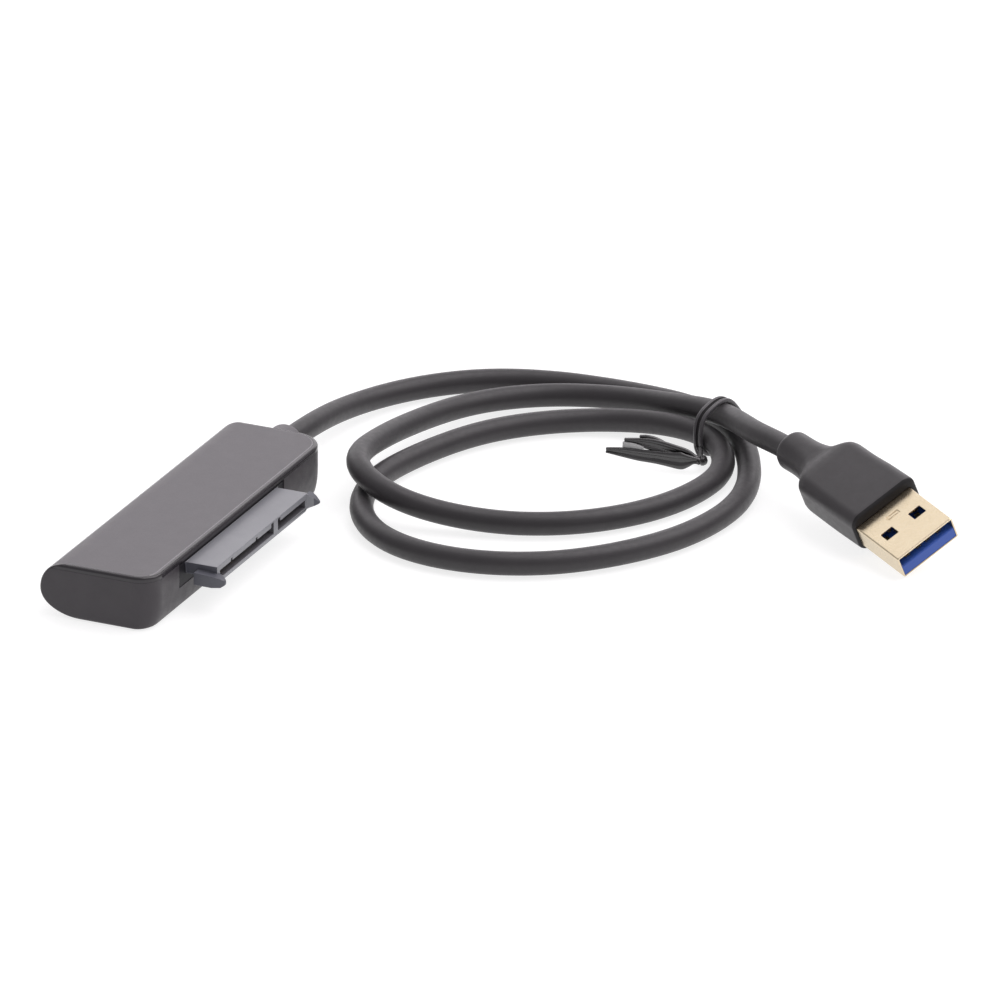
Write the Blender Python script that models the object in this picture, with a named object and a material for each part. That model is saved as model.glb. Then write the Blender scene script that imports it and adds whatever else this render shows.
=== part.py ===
"""USB to SATA adapter: a flat two-piece case with a 22-pin SATA receptacle on its long side, a
moulded strain relief on its far end, a thin round cable gathered by a twist tie, and a USB-A plug.

Frame: metres, +Z up, the case lies flat on z = 0. +X points out of the SATA receptacle, +Y
points along the case towards the end where the cable leaves. The origin is under the middle of
the case, receptacle and strain relief taken together.
"""

import math

import bmesh
import bpy
import numpy as np
from mathutils import Euler, Matrix, Vector

MM = 0.001

# ---------------------------------------------------------------- driving dimensions, in mm
CASE_LENGTH = 70.2
CASE_WIDTH = 21.5
CASE_HEIGHT = 9.7
CASE_WALL = 1.2
CASE_SIDE_ROUND = (1.45, 5.6)   # width and height of the soft edge under the upright long side
CASE_BELLY = (9.2, 2.2)    # half width and power of the curve under the rounded long side
CASE_END_ROUND = 0.55      # under the two ends
CASE_TOP_ROUND = 0.5
CASE_CORNER = (4.0, 6.0)   # plan radii of the two corners on the receptacle side, free end first
CASE_NOSE_CORNER = 0.6     # plan radius of the two ends of the rounded long side
PARTING = 8.75             # height of the joint between tub and cover
COVER_UNDERSIDE = 8.6

SATA_Y = -3.96             # middle of the receptacle along the case
SATA_HALF = 18.0           # half of the receptacle's moulded nose
SATA_OUT = 5.84            # how far the nose stands out of the case
SATA_TOP = 8.19
SATA_BOTTOM = 4.95
SLOT_LOW, SLOT_HIGH = 5.75, 7.15
POWER_SLOT = (SATA_Y - 16.9, SATA_Y + 4.4)
SIGNAL_SLOT = (SATA_Y + 6.1, SATA_Y + 17.0)
PITCH = 1.27
POWER_PINS, SIGNAL_PINS = 15, 7
EAR_TIP = 1.87             # how far the guide ears pass the nose
WINDOW_HALF = 20.65
WINDOW_SILL = 4.3

RELIEF_OUT = 5.9           # strain relief, from the end face to its tip
RELIEF_RADIUS = 3.45
RELIEF_NECK = 2.7
RELIEF_X = -0.2
MID_HEIGHT = CASE_HEIGHT / 2

PCB_TOP, PCB_THICK = 3.9, 1.0
GAP = 0.3

CABLE_DIAMETER = 4.2
TIE_THICK, TIE_WIDTH = 0.8, 2.1

# plug: place of the middle of its open mouth, and the way it lies
PLUG_POINT = (120.52, 43.47, 4.8)
PLUG_ROLL, PLUG_PITCH, PLUG_YAW = math.radians(26.62), math.radians(8.42), math.radians(-30.29)
SHELL_WIDTH, SHELL_HEIGHT, SHELL_SHEET = 12.2, 4.5, 0.3
SHELL_OUT, SHELL_BURIED = 12.0, 4.0

# the case stands off the origin, so that the origin is under the middle of case, nose and relief
CASE_X = -(SATA_OUT + EAR_TIP) / 2
CASE_Y = -RELIEF_OUT / 2

# The cable's route, as points of its centreline measured from the middle of the case. It leaves
# the strain relief straight, comes down to the table, makes two flat loops held by a twist tie
# where its three strands lie together, and rises into the back of the plug.
ROUTE = [
    (-0.2, 41.3, 4.85), (0.3, 51.0, 4.5), (1.3, 63.9, 3.1), (7.0, 77.7, 2.2), (18.0, 87.2, 2.2),
    (32.6, 91.7, 2.1), (47.7, 90.9, 2.6), (60.1, 86.4, 3.45), (68.5, 80.4, 3.15), (75.9, 69.3, 2.2),
    (80.2, 54.3, 2.1), (78.4, 39.1, 2.1), (71.1, 25.2, 2.2), (59.5, 15.1, 2.1), (45.8, 11.0, 2.1),
    (32.6, 13.6, 2.1), (23.0, 22.6, 2.1), (18.8, 36.0, 2.2), (21.1, 51.6, 2.1), (28.1, 66.2, 2.2),
    (49.4, 79.6, 2.6), (58.3, 78.7, 3.35), (66.3, 75.5, 3.2), (71.1, 68.9, 2.4), (71.8, 56.0, 2.1),
    (66.2, 42.6, 2.1), (55.3, 32.5, 2.1), (40.3, 27.2, 2.7), (26.0, 26.1, 5.4), (18.3, 31.4, 6.8),
    (15.0, 44.7, 5.9), (16.1, 62.2, 3.8), (21.2, 76.2, 2.7), (31.2, 84.8, 2.5), (43.8, 86.9, 3.3),
    (55.7, 83.9, 5.15), (64.9, 80.0, 6.8), (77.7, 69.1, 8.95), (83.64, 65.16, 9.39), (86.24, 63.37, 9.49),
]
CABLE_STATIONS = 74
TIE_POINT = Vector((65.3, 79.6, 0.0))
TIE_NORMAL = Vector((0.937, -0.35, 0.0)).normalized()
TIE_SLACK = (-1.8, 6.6)    # where the ring of the tie stands clear of the strands


# ---------------------------------------------------------------- helpers
def clear_scene():
    for obj in list(bpy.data.objects):
        bpy.data.objects.remove(obj, do_unlink=True)


def material(name, colour, roughness, metallic=0.0):
    mat = bpy.data.materials.new(name)
    mat.use_nodes = True
    shader = mat.node_tree.nodes["Principled BSDF"]
    shader.inputs["Base Color"].default_value = (*colour, 1.0)
    shader.inputs["Roughness"].default_value = roughness
    shader.inputs["Metallic"].default_value = metallic
    mat.diffuse_color = (*colour, 1.0)
    return mat


def link(name, data, mat, parent=None, smooth=False, angle=35):
    obj = bpy.data.objects.new(name, data)
    bpy.context.scene.collection.objects.link(obj)
    if mat is not None:
        data.materials.append(mat)
    if parent is not None:
        obj.parent = parent
    if smooth:
        data.shade_smooth()
        data.set_sharp_from_angle(angle=math.radians(angle))
    return obj


def mesh_from_rings(name, rings, cap=True, closed_path=False):
    """A body lofted through rings of points (mm), each ring with the same number of points."""
    bm = bmesh.new()
    loops = [[bm.verts.new(Vector(p) * MM) for p in ring] for ring in rings]
    count = len(loops[0])
    pairs = list(zip(loops[:-1], loops[1:]))
    if closed_path:
        pairs.append((loops[-1], loops[0]))
    for low, high in pairs:
        for i in range(count):
            j = (i + 1) % count
            bm.faces.new((low[i], low[j], high[j], high[i]))
    if cap and not closed_path:
        bm.faces.new(loops[0])
        bm.faces.new(loops[-1])
    bmesh.ops.recalc_face_normals(bm, faces=bm.faces)
    mesh = bpy.data.meshes.new(name)
    bm.to_mesh(mesh)
    bm.free()
    return mesh


def box_mesh(name, low, high, bevel=0.0, segments=2):
    bm = bmesh.new()
    bmesh.ops.create_cube(bm, size=1.0)
    low, high = Vector(low) * MM, Vector(high) * MM
    for vert in bm.verts:
        vert.co = Vector([low[i] + (vert.co[i] + 0.5) * (high[i] - low[i]) for i in range(3)])
    if bevel:
        bmesh.ops.bevel(bm, geom=list(bm.edges), offset=bevel * MM, segments=segments, profile=0.5, affect="EDGES")
    bmesh.ops.recalc_face_normals(bm, faces=bm.faces)
    mesh = bpy.data.meshes.new(name)
    bm.to_mesh(mesh)
    bm.free()
    return mesh


def prism_mesh(name, outline, low, high, axis="Y"):
    """A flat outline pushed along one axis. For axis Y the outline holds (x, z) pairs, for X (y, z)."""
    rings = []
    for at in (low, high):
        if axis == "Y":
            rings.append([(x, at, z) for x, z in outline])
        elif axis == "X":
            rings.append([(at, y, z) for y, z in outline])
        else:
            rings.append([(x, y, at) for x, y in outline])
    return mesh_from_rings(name, rings)


def cutter(name, mesh, parent=None):
    obj = link(name, mesh, None, parent)
    obj.hide_render = True
    obj.display_type = "WIRE"
    return obj


def boolean(obj, tool, operation="DIFFERENCE"):
    mod = obj.modifiers.new(operation.lower() + "_" + tool.name, "BOOLEAN")
    mod.operation = operation
    mod.solver = "EXACT"
    mod.object = tool


def rounded_rect(a, b, radius, per_corner=6):
    """Points of a rounded rectangle of half sides a, b, anticlockwise, (u, v) pairs."""
    points = []
    for quarter, (su, sv) in enumerate(((1, 1), (-1, 1), (-1, -1), (1, -1))):
        for k in range(per_corner + 1):
            angle = math.pi / 2 * (quarter + k / per_corner)
            points.append((su * (a - radius) + radius * math.cos(angle), sv * (b - radius) + radius * math.sin(angle)))
    return points


def natural_spline(points, count):
    """count points, evenly spaced by length, on the natural cubic spline through the given points."""
    knots = np.array(points, dtype=float)
    t = np.concatenate([[0.0], np.cumsum(np.linalg.norm(np.diff(knots, axis=0), axis=1))])
    h = np.diff(t)
    n = len(t)
    system = np.zeros((n, n))
    right = np.zeros((n, knots.shape[1]))
    system[0, 0] = system[-1, -1] = 1.0
    for i in range(1, n - 1):
        system[i, i - 1], system[i, i], system[i, i + 1] = h[i - 1], 2 * (h[i - 1] + h[i]), h[i]
        right[i] = 3 * ((knots[i + 1] - knots[i]) / h[i] - (knots[i] - knots[i - 1]) / h[i - 1])
    c = np.linalg.solve(system, right)

    def evaluate(values):
        k = np.clip(np.searchsorted(t, values, side="right") - 1, 0, n - 2)
        s = (values - t[k])[:, None]
        hk = h[k][:, None]
        b = (knots[k + 1] - knots[k]) / hk - hk * (2 * c[k] + c[k + 1]) / 3
        d = (c[k + 1] - c[k]) / (3 * hk)
        return knots[k] + b * s + c[k] * s**2 + d * s**3

    fine = evaluate(np.linspace(0.0, t[-1], 6000))
    run = np.concatenate([[0.0], np.cumsum(np.linalg.norm(np.diff(fine, axis=0), axis=1))])
    return evaluate(np.interp(np.linspace(0.0, run[-1], count), run, np.linspace(0.0, t[-1], 6000))), run[-1]


def tube(name, points, diameter, mat, resolution=2):
    """A round tube through the points (mm), with closed flat ends."""
    curve = bpy.data.curves.new(name, "CURVE")
    curve.dimensions = "3D"
    curve.bevel_depth = diameter / 2 * MM
    curve.bevel_resolution = resolution
    curve.use_fill_caps = True
    spline = curve.splines.new("POLY")
    spline.points.add(len(points) - 1)
    for point, place in zip(spline.points, points):
        point.co = (place[0] * MM, place[1] * MM, place[2] * MM, 1.0)
        point.radius = 1.0
    obj = bpy.data.objects.new(name, curve)
    bpy.context.scene.collection.objects.link(obj)
    curve.materials.append(mat)
    return obj


# ---------------------------------------------------------------- the case
def edge_round(z, wide, high):
    """How far an upright side draws in at height z, with an elliptic edge under it."""
    if z < high:
        return wide * (1 - math.sqrt(max(1 - ((high - z) / high) ** 2, 0.0)))
    top = CASE_HEIGHT - CASE_TOP_ROUND
    if z > top:
        return CASE_TOP_ROUND - math.sqrt(max(CASE_TOP_ROUND**2 - (z - top) ** 2, 0.0))
    return 0.0


def case_outline(z, inset=0.0, left=None):
    """Plan of the case at height z: a half-round long side on the left, two round corners on the right."""
    nose = CASE_HEIGHT / 2
    if left is None and inset == 0.0 and z < nose:
        wide, power = CASE_BELLY
        left = wide - CASE_WIDTH / 2 - wide * (1 - ((nose - z) / nose) ** power) ** (1 / power)
    elif left is None:
        left = nose - CASE_WIDTH / 2 - math.sqrt(max((nose - inset) ** 2 - (z - nose) ** 2, 0.0))
    side = edge_round(z, *CASE_SIDE_ROUND) if inset == 0.0 else 0.0
    ends = edge_round(z, CASE_END_ROUND, CASE_END_ROUND) if inset == 0.0 else 0.0
    right = CASE_WIDTH / 2 - inset - side
    end = CASE_LENGTH / 2 - inset - ends
    big, back = [(max(r - inset - side, 0.4), max(r - inset - ends, 0.4)) for r in CASE_CORNER]
    small = max((CASE_NOSE_CORNER if inset == 0.0 else 0.3) - ends, 0.08)
    points = []
    corners = (
        (left + small, -end + small, (small, small), math.pi, 3),
        (right - big[0], -end + big[1], big, 1.5 * math.pi, 8),
        (right - back[0], end - back[1], back, 0.0, 8),
        (left + small, end - small, (small, small), 0.5 * math.pi, 3),
    )
    for cx, cy, radii, start, steps in corners:
        for k in range(steps + 1):
            angle = start + math.pi / 2 * k / steps
            points.append((cx + radii[0] * math.cos(angle), cy + radii[1] * math.sin(angle)))
    return [(x, y, z) for x, y in points]


def make_case(parent):
    lower = material("case_dark_plastic", (0.075, 0.072, 0.078), 0.5)
    upper = material("cover_dark_plastic", (0.16, 0.155, 0.165), 0.55)

    levels = [0.0, 0.06, 0.18, 0.36, 0.6, 0.95, 1.5, 2.2, 3.1, 4.0, 4.85, 6.1, 7.2, 8.0, PARTING - 0.02]
    rings = [case_outline(z) for z in levels]
    rings += [case_outline(z, CASE_WALL) for z in (PARTING - 0.02, 8.0, 7.2, 6.1, 4.85, 3.6, 2.5, 1.8, CASE_WALL)]
    tub = link("bottom_shell", mesh_from_rings("bottom_shell", rings), lower, parent, smooth=True)
    half = CASE_WIDTH / 2
    boolean(tub, cutter("cut_window", box_mesh("cut_window", (half - 2.6, SATA_Y - WINDOW_HALF, WINDOW_SILL), (half + 2, SATA_Y + WINDOW_HALF, 9.6)), parent))
    hole = [(RELIEF_X + 3.0 * math.cos(a), MID_HEIGHT + 3.0 * math.sin(a)) for a in np.linspace(0, 2 * math.pi, 32, endpoint=False)]
    boolean(tub, cutter("cut_cable_hole", prism_mesh("cut_cable_hole", hole, CASE_LENGTH / 2 - 2.2, CASE_LENGTH / 2 + 1), parent))
    for k, (x, y) in enumerate(((-5.0, -27.0), (6.2, -27.5), (-5.0, 25.0), (6.2, 27.0))):
        post = [(x + 1.3 * math.cos(a), y + 1.3 * math.sin(a)) for a in np.linspace(0, 2 * math.pi, 16, endpoint=False)]
        boolean(tub, cutter(f"post_{k}", prism_mesh(f"post_{k}", post, 0.7, PCB_TOP - PCB_THICK - GAP, "Z"), parent), "UNION")

    lip_left = 0.35 - CASE_WIDTH / 2 + CASE_HEIGHT / 2
    rings = [case_outline(z) for z in (CASE_HEIGHT, 9.665, 9.56, 9.4, 9.2, PARTING + GAP)]
    rings += [case_outline(PARTING + GAP, 1.5, lip_left), case_outline(7.7, 1.5, lip_left)]
    rings += [case_outline(7.7, 2.4, lip_left + 0.9), case_outline(COVER_UNDERSIDE, 2.4, lip_left + 0.9)]
    cover = link("top_cover", mesh_from_rings("top_cover", rings), upper, parent, smooth=True)
    boolean(cover, cutter("cut_lip_side", box_mesh("cut_lip_side", (half - 7, SATA_Y - 21.2, 7.0), (half - 0.9, SATA_Y + 21.2, COVER_UNDERSIDE)), parent))
    boolean(cover, cutter("cut_lip_end", box_mesh("cut_lip_end", (RELIEF_X - 4.2, CASE_LENGTH / 2 - 6, 7.0), (RELIEF_X + 4.2, CASE_LENGTH / 2 - 0.9, 8.75)), parent))

    # strain relief: a turned body with a groove that sits in the end wall
    end = CASE_LENGTH / 2
    stations = [
        (end - 3.7, 3.0), (end - 3.5, 3.35), (end - 1.5, 3.35), (end - 1.5, RELIEF_NECK), (end + GAP, RELIEF_NECK),
        (end + GAP, RELIEF_RADIUS), (end + RELIEF_OUT - 0.7, RELIEF_RADIUS - 0.1),
        (end + RELIEF_OUT - 0.25, RELIEF_RADIUS - 0.25), (end + RELIEF_OUT, RELIEF_RADIUS - 0.6),
    ]
    rings = []
    for y, radius in stations:
        rings.append([(RELIEF_X + radius * math.cos(a), y, MID_HEIGHT + radius * math.sin(a)) for a in np.linspace(0, 2 * math.pi, 32, endpoint=False)])
    link("strain_relief", mesh_from_rings("strain_relief", rings), material("relief_rubber", (0.13, 0.128, 0.135), 0.6), parent, smooth=True)


# ---------------------------------------------------------------- the receptacle and its contacts
def make_receptacle(parent):
    plastic = material("receptacle_plastic", (0.2, 0.21, 0.235), 0.45)
    half = CASE_WIDTH / 2
    front = half + SATA_OUT
    inner = half - 6.0
    body = link("sata_housing", box_mesh("sata_housing", (half - 1.0, SATA_Y - SATA_HALF, SATA_BOTTOM), (front, SATA_Y + SATA_HALF, SATA_TOP)), plastic, parent)
    flange = cutter("add_flange", box_mesh("add_flange", (inner, SATA_Y - 20.2, 4.6), (half - 0.6, SATA_Y + 20.2, 8.2)), parent)
    boolean(body, flange, "UNION")
    near, far = SATA_Y - SATA_HALF, SATA_Y + SATA_HALF
    ears = {
        "near": [(half + 2.6, near - 1.6, near + 1.0, 5.1, 7.3), (front - 0.4, near - 1.55, near + 1.0, 5.1, 7.1), (front + 1.1, near - 1.2, near + 0.4, 5.3, 6.85), (front + EAR_TIP, near - 0.9, near - 0.2, 5.8, 6.5)],
        "far": [(half + 2.6, far - 1.0, far + 1.5, 5.1, 6.6), (front - 0.9, far - 1.0, far + 1.5, 5.2, 6.6), (front - 0.35, far - 0.7, far + 1.5, 5.3, 7.95), (front + 0.3, far - 0.4, far + 1.45, 5.5, 7.8), (front + EAR_TIP, far + 0.5, far + 1.1, 6.2, 6.6)],
    }
    for name, stops in ears.items():
        rings = [[(x, low, bottom), (x, high, bottom), (x, high, top), (x, low, top)] for x, low, high, bottom, top in stops]
        boolean(body, cutter("ear_" + name, mesh_from_rings("ear_" + name, rings), parent), "UNION")
    for name, (start, stop), leg in (("power", POWER_SLOT, 1), ("signal", SIGNAL_SLOT, -1)):
        cut = box_mesh("slot", (inner - 1, start, SLOT_LOW), (front + 1, stop, SLOT_HIGH))
        boolean(body, cutter("cut_slot_" + name, cut, parent))
        edge = stop if leg > 0 else start
        low, high = (edge - 0.95, edge) if leg > 0 else (edge, edge + 0.95)
        key = box_mesh("key", (half - 0.2, low, SLOT_HIGH - 0.2), (front + 1, high, SLOT_HIGH + 0.65))
        boolean(body, cutter("cut_key_" + name, key, parent))
    for k, y in enumerate((SATA_Y - 12.2, SATA_Y - 2.4)):
        boolean(body, cutter(f"cut_notch_{k}", box_mesh("notch", (half + 1.0, y - 0.3, SLOT_HIGH - 0.2), (front + 1, y + 0.3, SLOT_HIGH + 0.5)), parent))

    gilt = material("contact_gold", (0.83, 0.62, 0.28), 0.3, 1.0)
    path = [
        (inner - 2.6, PCB_TOP + 0.25), (inner - 1.5, PCB_TOP + 0.25), (inner - 0.7, SLOT_LOW + 0.3), (front - 4.9, SLOT_LOW + 0.3),
        (front - 3.4, SLOT_LOW + 0.62), (front - 2.4, SLOT_LOW + 0.3), (front - 1.9, SLOT_LOW + 0.25),
    ]
    outline = path + [(x, z + 0.2) for x, z in reversed(path)]
    pins = [("power", POWER_SLOT[0] + 1.3 + PITCH * k, k + 1) for k in range(POWER_PINS)]
    pins += [("signal", SIGNAL_SLOT[1] - 1.3 - PITCH * k, k + 1) for k in range(SIGNAL_PINS)]
    shared = prism_mesh("contact_blade", outline, -0.35, 0.35)
    for kind, y, number in pins:
        pin = link(f"sata_{kind}_contact_{number:02d}", shared, None, parent)
        if not shared.materials:
            shared.materials.append(gilt)
        pin.location = (0.0, y * MM, 0.0)


# ---------------------------------------------------------------- the circuit board and what it carries
def make_board(parent):
    half = CASE_WIDTH / 2
    top = PCB_TOP
    board = link("circuit_board", box_mesh("circuit_board", (-8.2, -31.6, top - PCB_THICK), (half - 1.9, 30.6, top)), material("board_green", (0.02, 0.16, 0.07), 0.4), parent)
    for k, y in enumerate((-14.0, 8.0)):
        notch = [(-8.2 + 0.9 * math.cos(a), y + 0.9 * math.sin(a)) for a in np.linspace(0, 2 * math.pi, 20, endpoint=False)]
        boolean(board, cutter(f"cut_board_notch_{k}", prism_mesh("notch", notch, top - 2, top + 1, "Z"), parent))
    epoxy = material("chip_epoxy", (0.02, 0.02, 0.022), 0.5)
    lift = top + 0.2
    link("bridge_chip", box_mesh("bridge_chip", (-7.0, -10.0, lift), (0.6, -2.4, lift + 0.95), 0.12), epoxy, parent)
    link("memory_chip", box_mesh("memory_chip", (-6.6, -20.4, lift), (-1.4, -16.4, lift + 1.5), 0.12), epoxy, parent)
    link("clock_crystal", box_mesh("clock_crystal", (-6.4, 1.2, lift), (-3.2, 3.7, lift + 0.75), 0.15), material("crystal_can", (0.72, 0.7, 0.66), 0.25, 1.0), parent)
    link("power_inductor", box_mesh("power_inductor", (-6.6, 8.2, lift), (-2.4, 12.4, lift + 2.0), 0.4, 3), material("ferrite_grey", (0.09, 0.09, 0.1), 0.6), parent)
    tan = material("capacitor_tan", (0.62, 0.36, 0.12), 0.5)
    link("input_capacitor", box_mesh("input_capacitor", (-6.4, 15.6, lift), (-3.0, 18.3, lift + 1.7), 0.15), tan, parent)
    link("output_capacitor", box_mesh("output_capacitor", (-6.8, -27.0, lift), (-3.4, -24.3, lift + 1.7), 0.15), tan, parent)

    colours = {
        "wire_power": (0.6, 0.03, 0.02), "wire_data_minus": (0.8, 0.8, 0.78), "wire_shield_drain": (0.45, 0.42, 0.38),
        "wire_data_plus": (0.03, 0.4, 0.08), "wire_ground": (0.02, 0.02, 0.02),
    }
    for k, (name, colour) in enumerate(colours.items()):
        x = RELIEF_X + 1.25 * (k - 2)
        route = [(x, CASE_LENGTH / 2 - 4.1, MID_HEIGHT + 0.1), (x, 29.2, MID_HEIGHT), (x, 27.4, top + 0.75), (x, 25.6, top + 0.7), (x, 23.6, top + 0.7)]
        points, _ = natural_spline(route, 9)
        wire = tube(name, points, 0.9, material(name + "_jacket", colour, 0.45))
        wire.parent = parent


# ---------------------------------------------------------------- the plug
def section(x, shift, lift, a, b, radius, per_corner=6):
    return [(x, shift + u, lift + v) for u, v in rounded_rect(a, b, radius, per_corner)]


def make_plug(parent):
    rubber = material("plug_overmould", (0.105, 0.1, 0.108), 0.55)
    stations = [
        (-12.0, 0.4, 0.2, 6.4, 3.55, 1.9), (-12.2, 0.4, 0.2, 6.8, 3.9, 2.05), (-12.8, 0.4, 0.2, 7.05, 4.15, 2.2), (-18.0, 0.2, 0.15, 7.02, 4.2, 2.3),
        (-23.0, -0.02, 0.1, 6.85, 4.22, 2.35), (-26.6, -0.08, 0.08, 6.8, 4.24, 2.4), (-28.0, -0.1, 0.06, 6.62, 4.16, 2.5), (-28.9, -0.12, 0.04, 6.15, 4.0, 2.7),
        (-29.7, -0.15, 0.0, 5.4, 3.82, 3.0), (-30.6, -0.2, 0.0, 4.65, 3.62, 3.2), (-32.0, -0.25, 0.0, 4.05, 3.5, 3.35), (-34.0, -0.35, -0.08, 3.6, 3.48, 3.3),
        (-36.5, -0.48, -0.22, 3.42, 3.58, 3.3), (-38.6, -0.58, -0.36, 3.4, 3.66, 3.3), (-39.2, -0.6, -0.4, 3.2, 3.44, 3.1), (-39.4, -0.62, -0.42, 2.85, 3.08, 2.75),
    ]
    body = link("usb_overmold", mesh_from_rings("usb_overmold", [section(*s) for s in stations]), rubber, parent, smooth=True)
    w, h = SHELL_WIDTH / 2, SHELL_HEIGHT / 2
    deep = -SHELL_OUT - SHELL_BURIED
    boolean(body, cutter("cut_shell_pocket", box_mesh("cut_shell_pocket", (deep - GAP, -w - GAP, -h - GAP), (-SHELL_OUT + 1.0, w + GAP, h + GAP)), parent))

    steel = material("plug_shell_plate", (0.78, 0.72, 0.6), 0.28, 1.0)
    s = SHELL_SHEET
    rings = [section(-0.0, 0, 0, w, h, 0.35, 4), section(deep, 0, 0, w, h, 0.35, 4), section(deep, 0, 0, w - s, h - s, 0.15, 4), section(-0.0, 0, 0, w - s, h - s, 0.15, 4)]
    shell = link("usb_shell", mesh_from_rings("usb_shell", rings, closed_path=True), steel, parent, smooth=True)
    for k, y in enumerate((-3.15, 3.15)):
        boolean(shell, cutter(f"cut_shell_hole_{k}", box_mesh("hole", (-7.25, y - 1.25, -h - 1), (-5.1, y + 1.25, h + 1)), parent))

    blue = material("insulator_blue", (0.045, 0.11, 0.5), 0.4)
    tongue = [(-0.15, -1.75), (-0.15, 0.05), (-0.45, 0.2), (-9.6, 0.2), (-9.6, 1.6), (-15.6, 1.6), (-15.6, -1.75)]
    link("usb_insulator", prism_mesh("usb_insulator", tongue, -5.35, 5.35), blue, parent)

    gilt = material("plug_contact_gold", (0.85, 0.66, 0.32), 0.28, 1.0)
    for k, y in enumerate((-3.5, -1.0, 1.0, 3.5)):
        link(f"usb_contact_{k + 1}", box_mesh("pad", (-7.9, y - 0.5, 0.35), (-1.2, y + 0.5, 0.5)), gilt, parent)
    hump = [(-9.3, 0.4), (-9.3, 0.55), (-8.9, 0.85), (-8.5, 0.55), (-8.3, 0.55), (-8.3, 0.4)]
    for k, y in enumerate((-4.0, -2.0, 0.0, 2.0, 4.0)):
        link(f"usb_fast_contact_{k + 1}", prism_mesh("spring", hump, y - 0.4, y + 0.4), gilt, parent)


# ---------------------------------------------------------------- the cable and its tie
def cable_points(count):
    points, length = natural_spline(ROUTE, count)
    points[:, 2] = np.maximum(points[:, 2], CABLE_DIAMETER / 2 + 0.02)
    return points, length


def hull_path(centres, radius, count):
    """An even closed path round circles of one radius, in a plane: (h, z) pairs."""
    cloud = np.array([(c[0] + radius * math.cos(a), c[1] + radius * math.sin(a)) for c in centres for a in np.linspace(0, 2 * math.pi, 96, endpoint=False)])
    cloud = cloud[np.lexsort((cloud[:, 1], cloud[:, 0]))]

    def chain(points):
        kept = []
        for p in points:
            while len(kept) > 1 and (kept[-1][0] - kept[-2][0]) * (p[1] - kept[-2][1]) - (kept[-1][1] - kept[-2][1]) * (p[0] - kept[-2][0]) <= 0:
                kept.pop()
            kept.append(tuple(p))
        return kept[:-1]

    hull = np.array(chain(cloud) + chain(cloud[::-1]))
    around = np.vstack([hull, hull[:1]])
    run = np.concatenate([[0.0], np.cumsum(np.linalg.norm(np.diff(around, axis=0), axis=1))])
    at = np.linspace(0, run[-1], count, endpoint=False)
    return np.column_stack([np.interp(at, run, around[:, 0]), np.interp(at, run, around[:, 1])])


def make_cable(parent):
    jacket = material("cable_jacket", (0.05, 0.048, 0.052), 0.42)
    points, _ = cable_points(CABLE_STATIONS)
    run = [tuple(p) for p in points]
    cable = tube("cable", run, CABLE_DIAMETER, jacket, 3)
    cable.parent = parent

    # the tie: a flat band round the three strands, and its two ends twisted and lying to one side
    fine, _ = cable_points(3000)
    across = Vector((-TIE_NORMAL.y, TIE_NORMAL.x, 0.0))
    side = (fine - np.array(TIE_POINT)) @ np.array(TIE_NORMAL)
    strands = []
    for i in np.where(np.abs(side) < TIE_WIDTH / 2 + 0.1)[0][::3]:
        if (Vector(fine[i]) - TIE_POINT).length < 14:
            strands.append(((Vector(fine[i]) - TIE_POINT).dot(across), fine[i][2]))
    strands.append(TIE_SLACK)
    path = hull_path(strands, CABLE_DIAMETER / 2 + 0.35 + TIE_THICK / 2, 44)
    rings = []
    for k, (h, z) in enumerate(path):
        nh, nz = path[(k + 1) % len(path)]
        ph, pz = path[k - 1]
        out = Vector((nz - pz, -(nh - ph))).normalized()
        ring = []
        for u, v in rounded_rect(TIE_THICK / 2, TIE_WIDTH / 2, 0.3, 2):
            place = TIE_POINT + across * (h + out.x * u) + TIE_NORMAL * v
            ring.append((place.x, place.y, max(z + out.y * u, 0.03 + TIE_THICK / 2 + out.y * u)))
        rings.append(ring)
    black = material("tie_plastic", (0.025, 0.025, 0.027), 0.4)
    band = link("twist_tie", mesh_from_rings("twist_tie", rings, closed_path=True), black, parent, smooth=True)
    strap = [(63.5, 74.6, 1.15, 0.9, 0.5), (64.5, 73.2, 1.3, 0.9, 0.55), (65.9, 71.2, 1.5, 0.9, 0.7), (66.75, 69.0, 1.75, 0.85, 0.75)]
    rings = []
    for k, (x, y, z, wide, thick) in enumerate(strap):
        ahead = (Vector(strap[min(k + 1, 3)][:3]) - Vector(strap[max(k - 1, 0)][:3])).normalized()
        flat = Vector((-ahead.y, ahead.x, 0)).normalized()
        up = ahead.cross(flat)
        rings.append([tuple(Vector((x, y, z)) + flat * u + up * v) for u, v in rounded_rect(wide, thick, 0.42, 2)])
    boolean(band, cutter("add_tie_strap", mesh_from_rings("add_tie_strap", rings), parent), "UNION")
    fan = [
        (67.0, 69.4, 1.8, 0.8), (66.25, 68.53, 2.1, 0.8), (65.04, 68.23, 2.24, 1.25), (63.82, 67.94, 1.95, 1.8), (61.91, 67.47, 2.79, 2.14), (58.1, 66.55, 3.62, 2.33),
        (56.02, 66.04, 3.74, 2.23), (53.77, 65.49, 3.61, 1.81), (51.52, 64.95, 2.86, 0.76),
    ]
    side = Vector((-0.23, 0.97, 0.0)).normalized()
    rings = [[tuple(Vector((x, y, z)) + side * u + Vector((0, 0, v))) for u, v in rounded_rect(0.75, half, 0.4, 2)] for x, y, z, half in fan]
    boolean(band, cutter("add_tie_ends", mesh_from_rings("add_tie_ends", rings), parent), "UNION")


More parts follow.
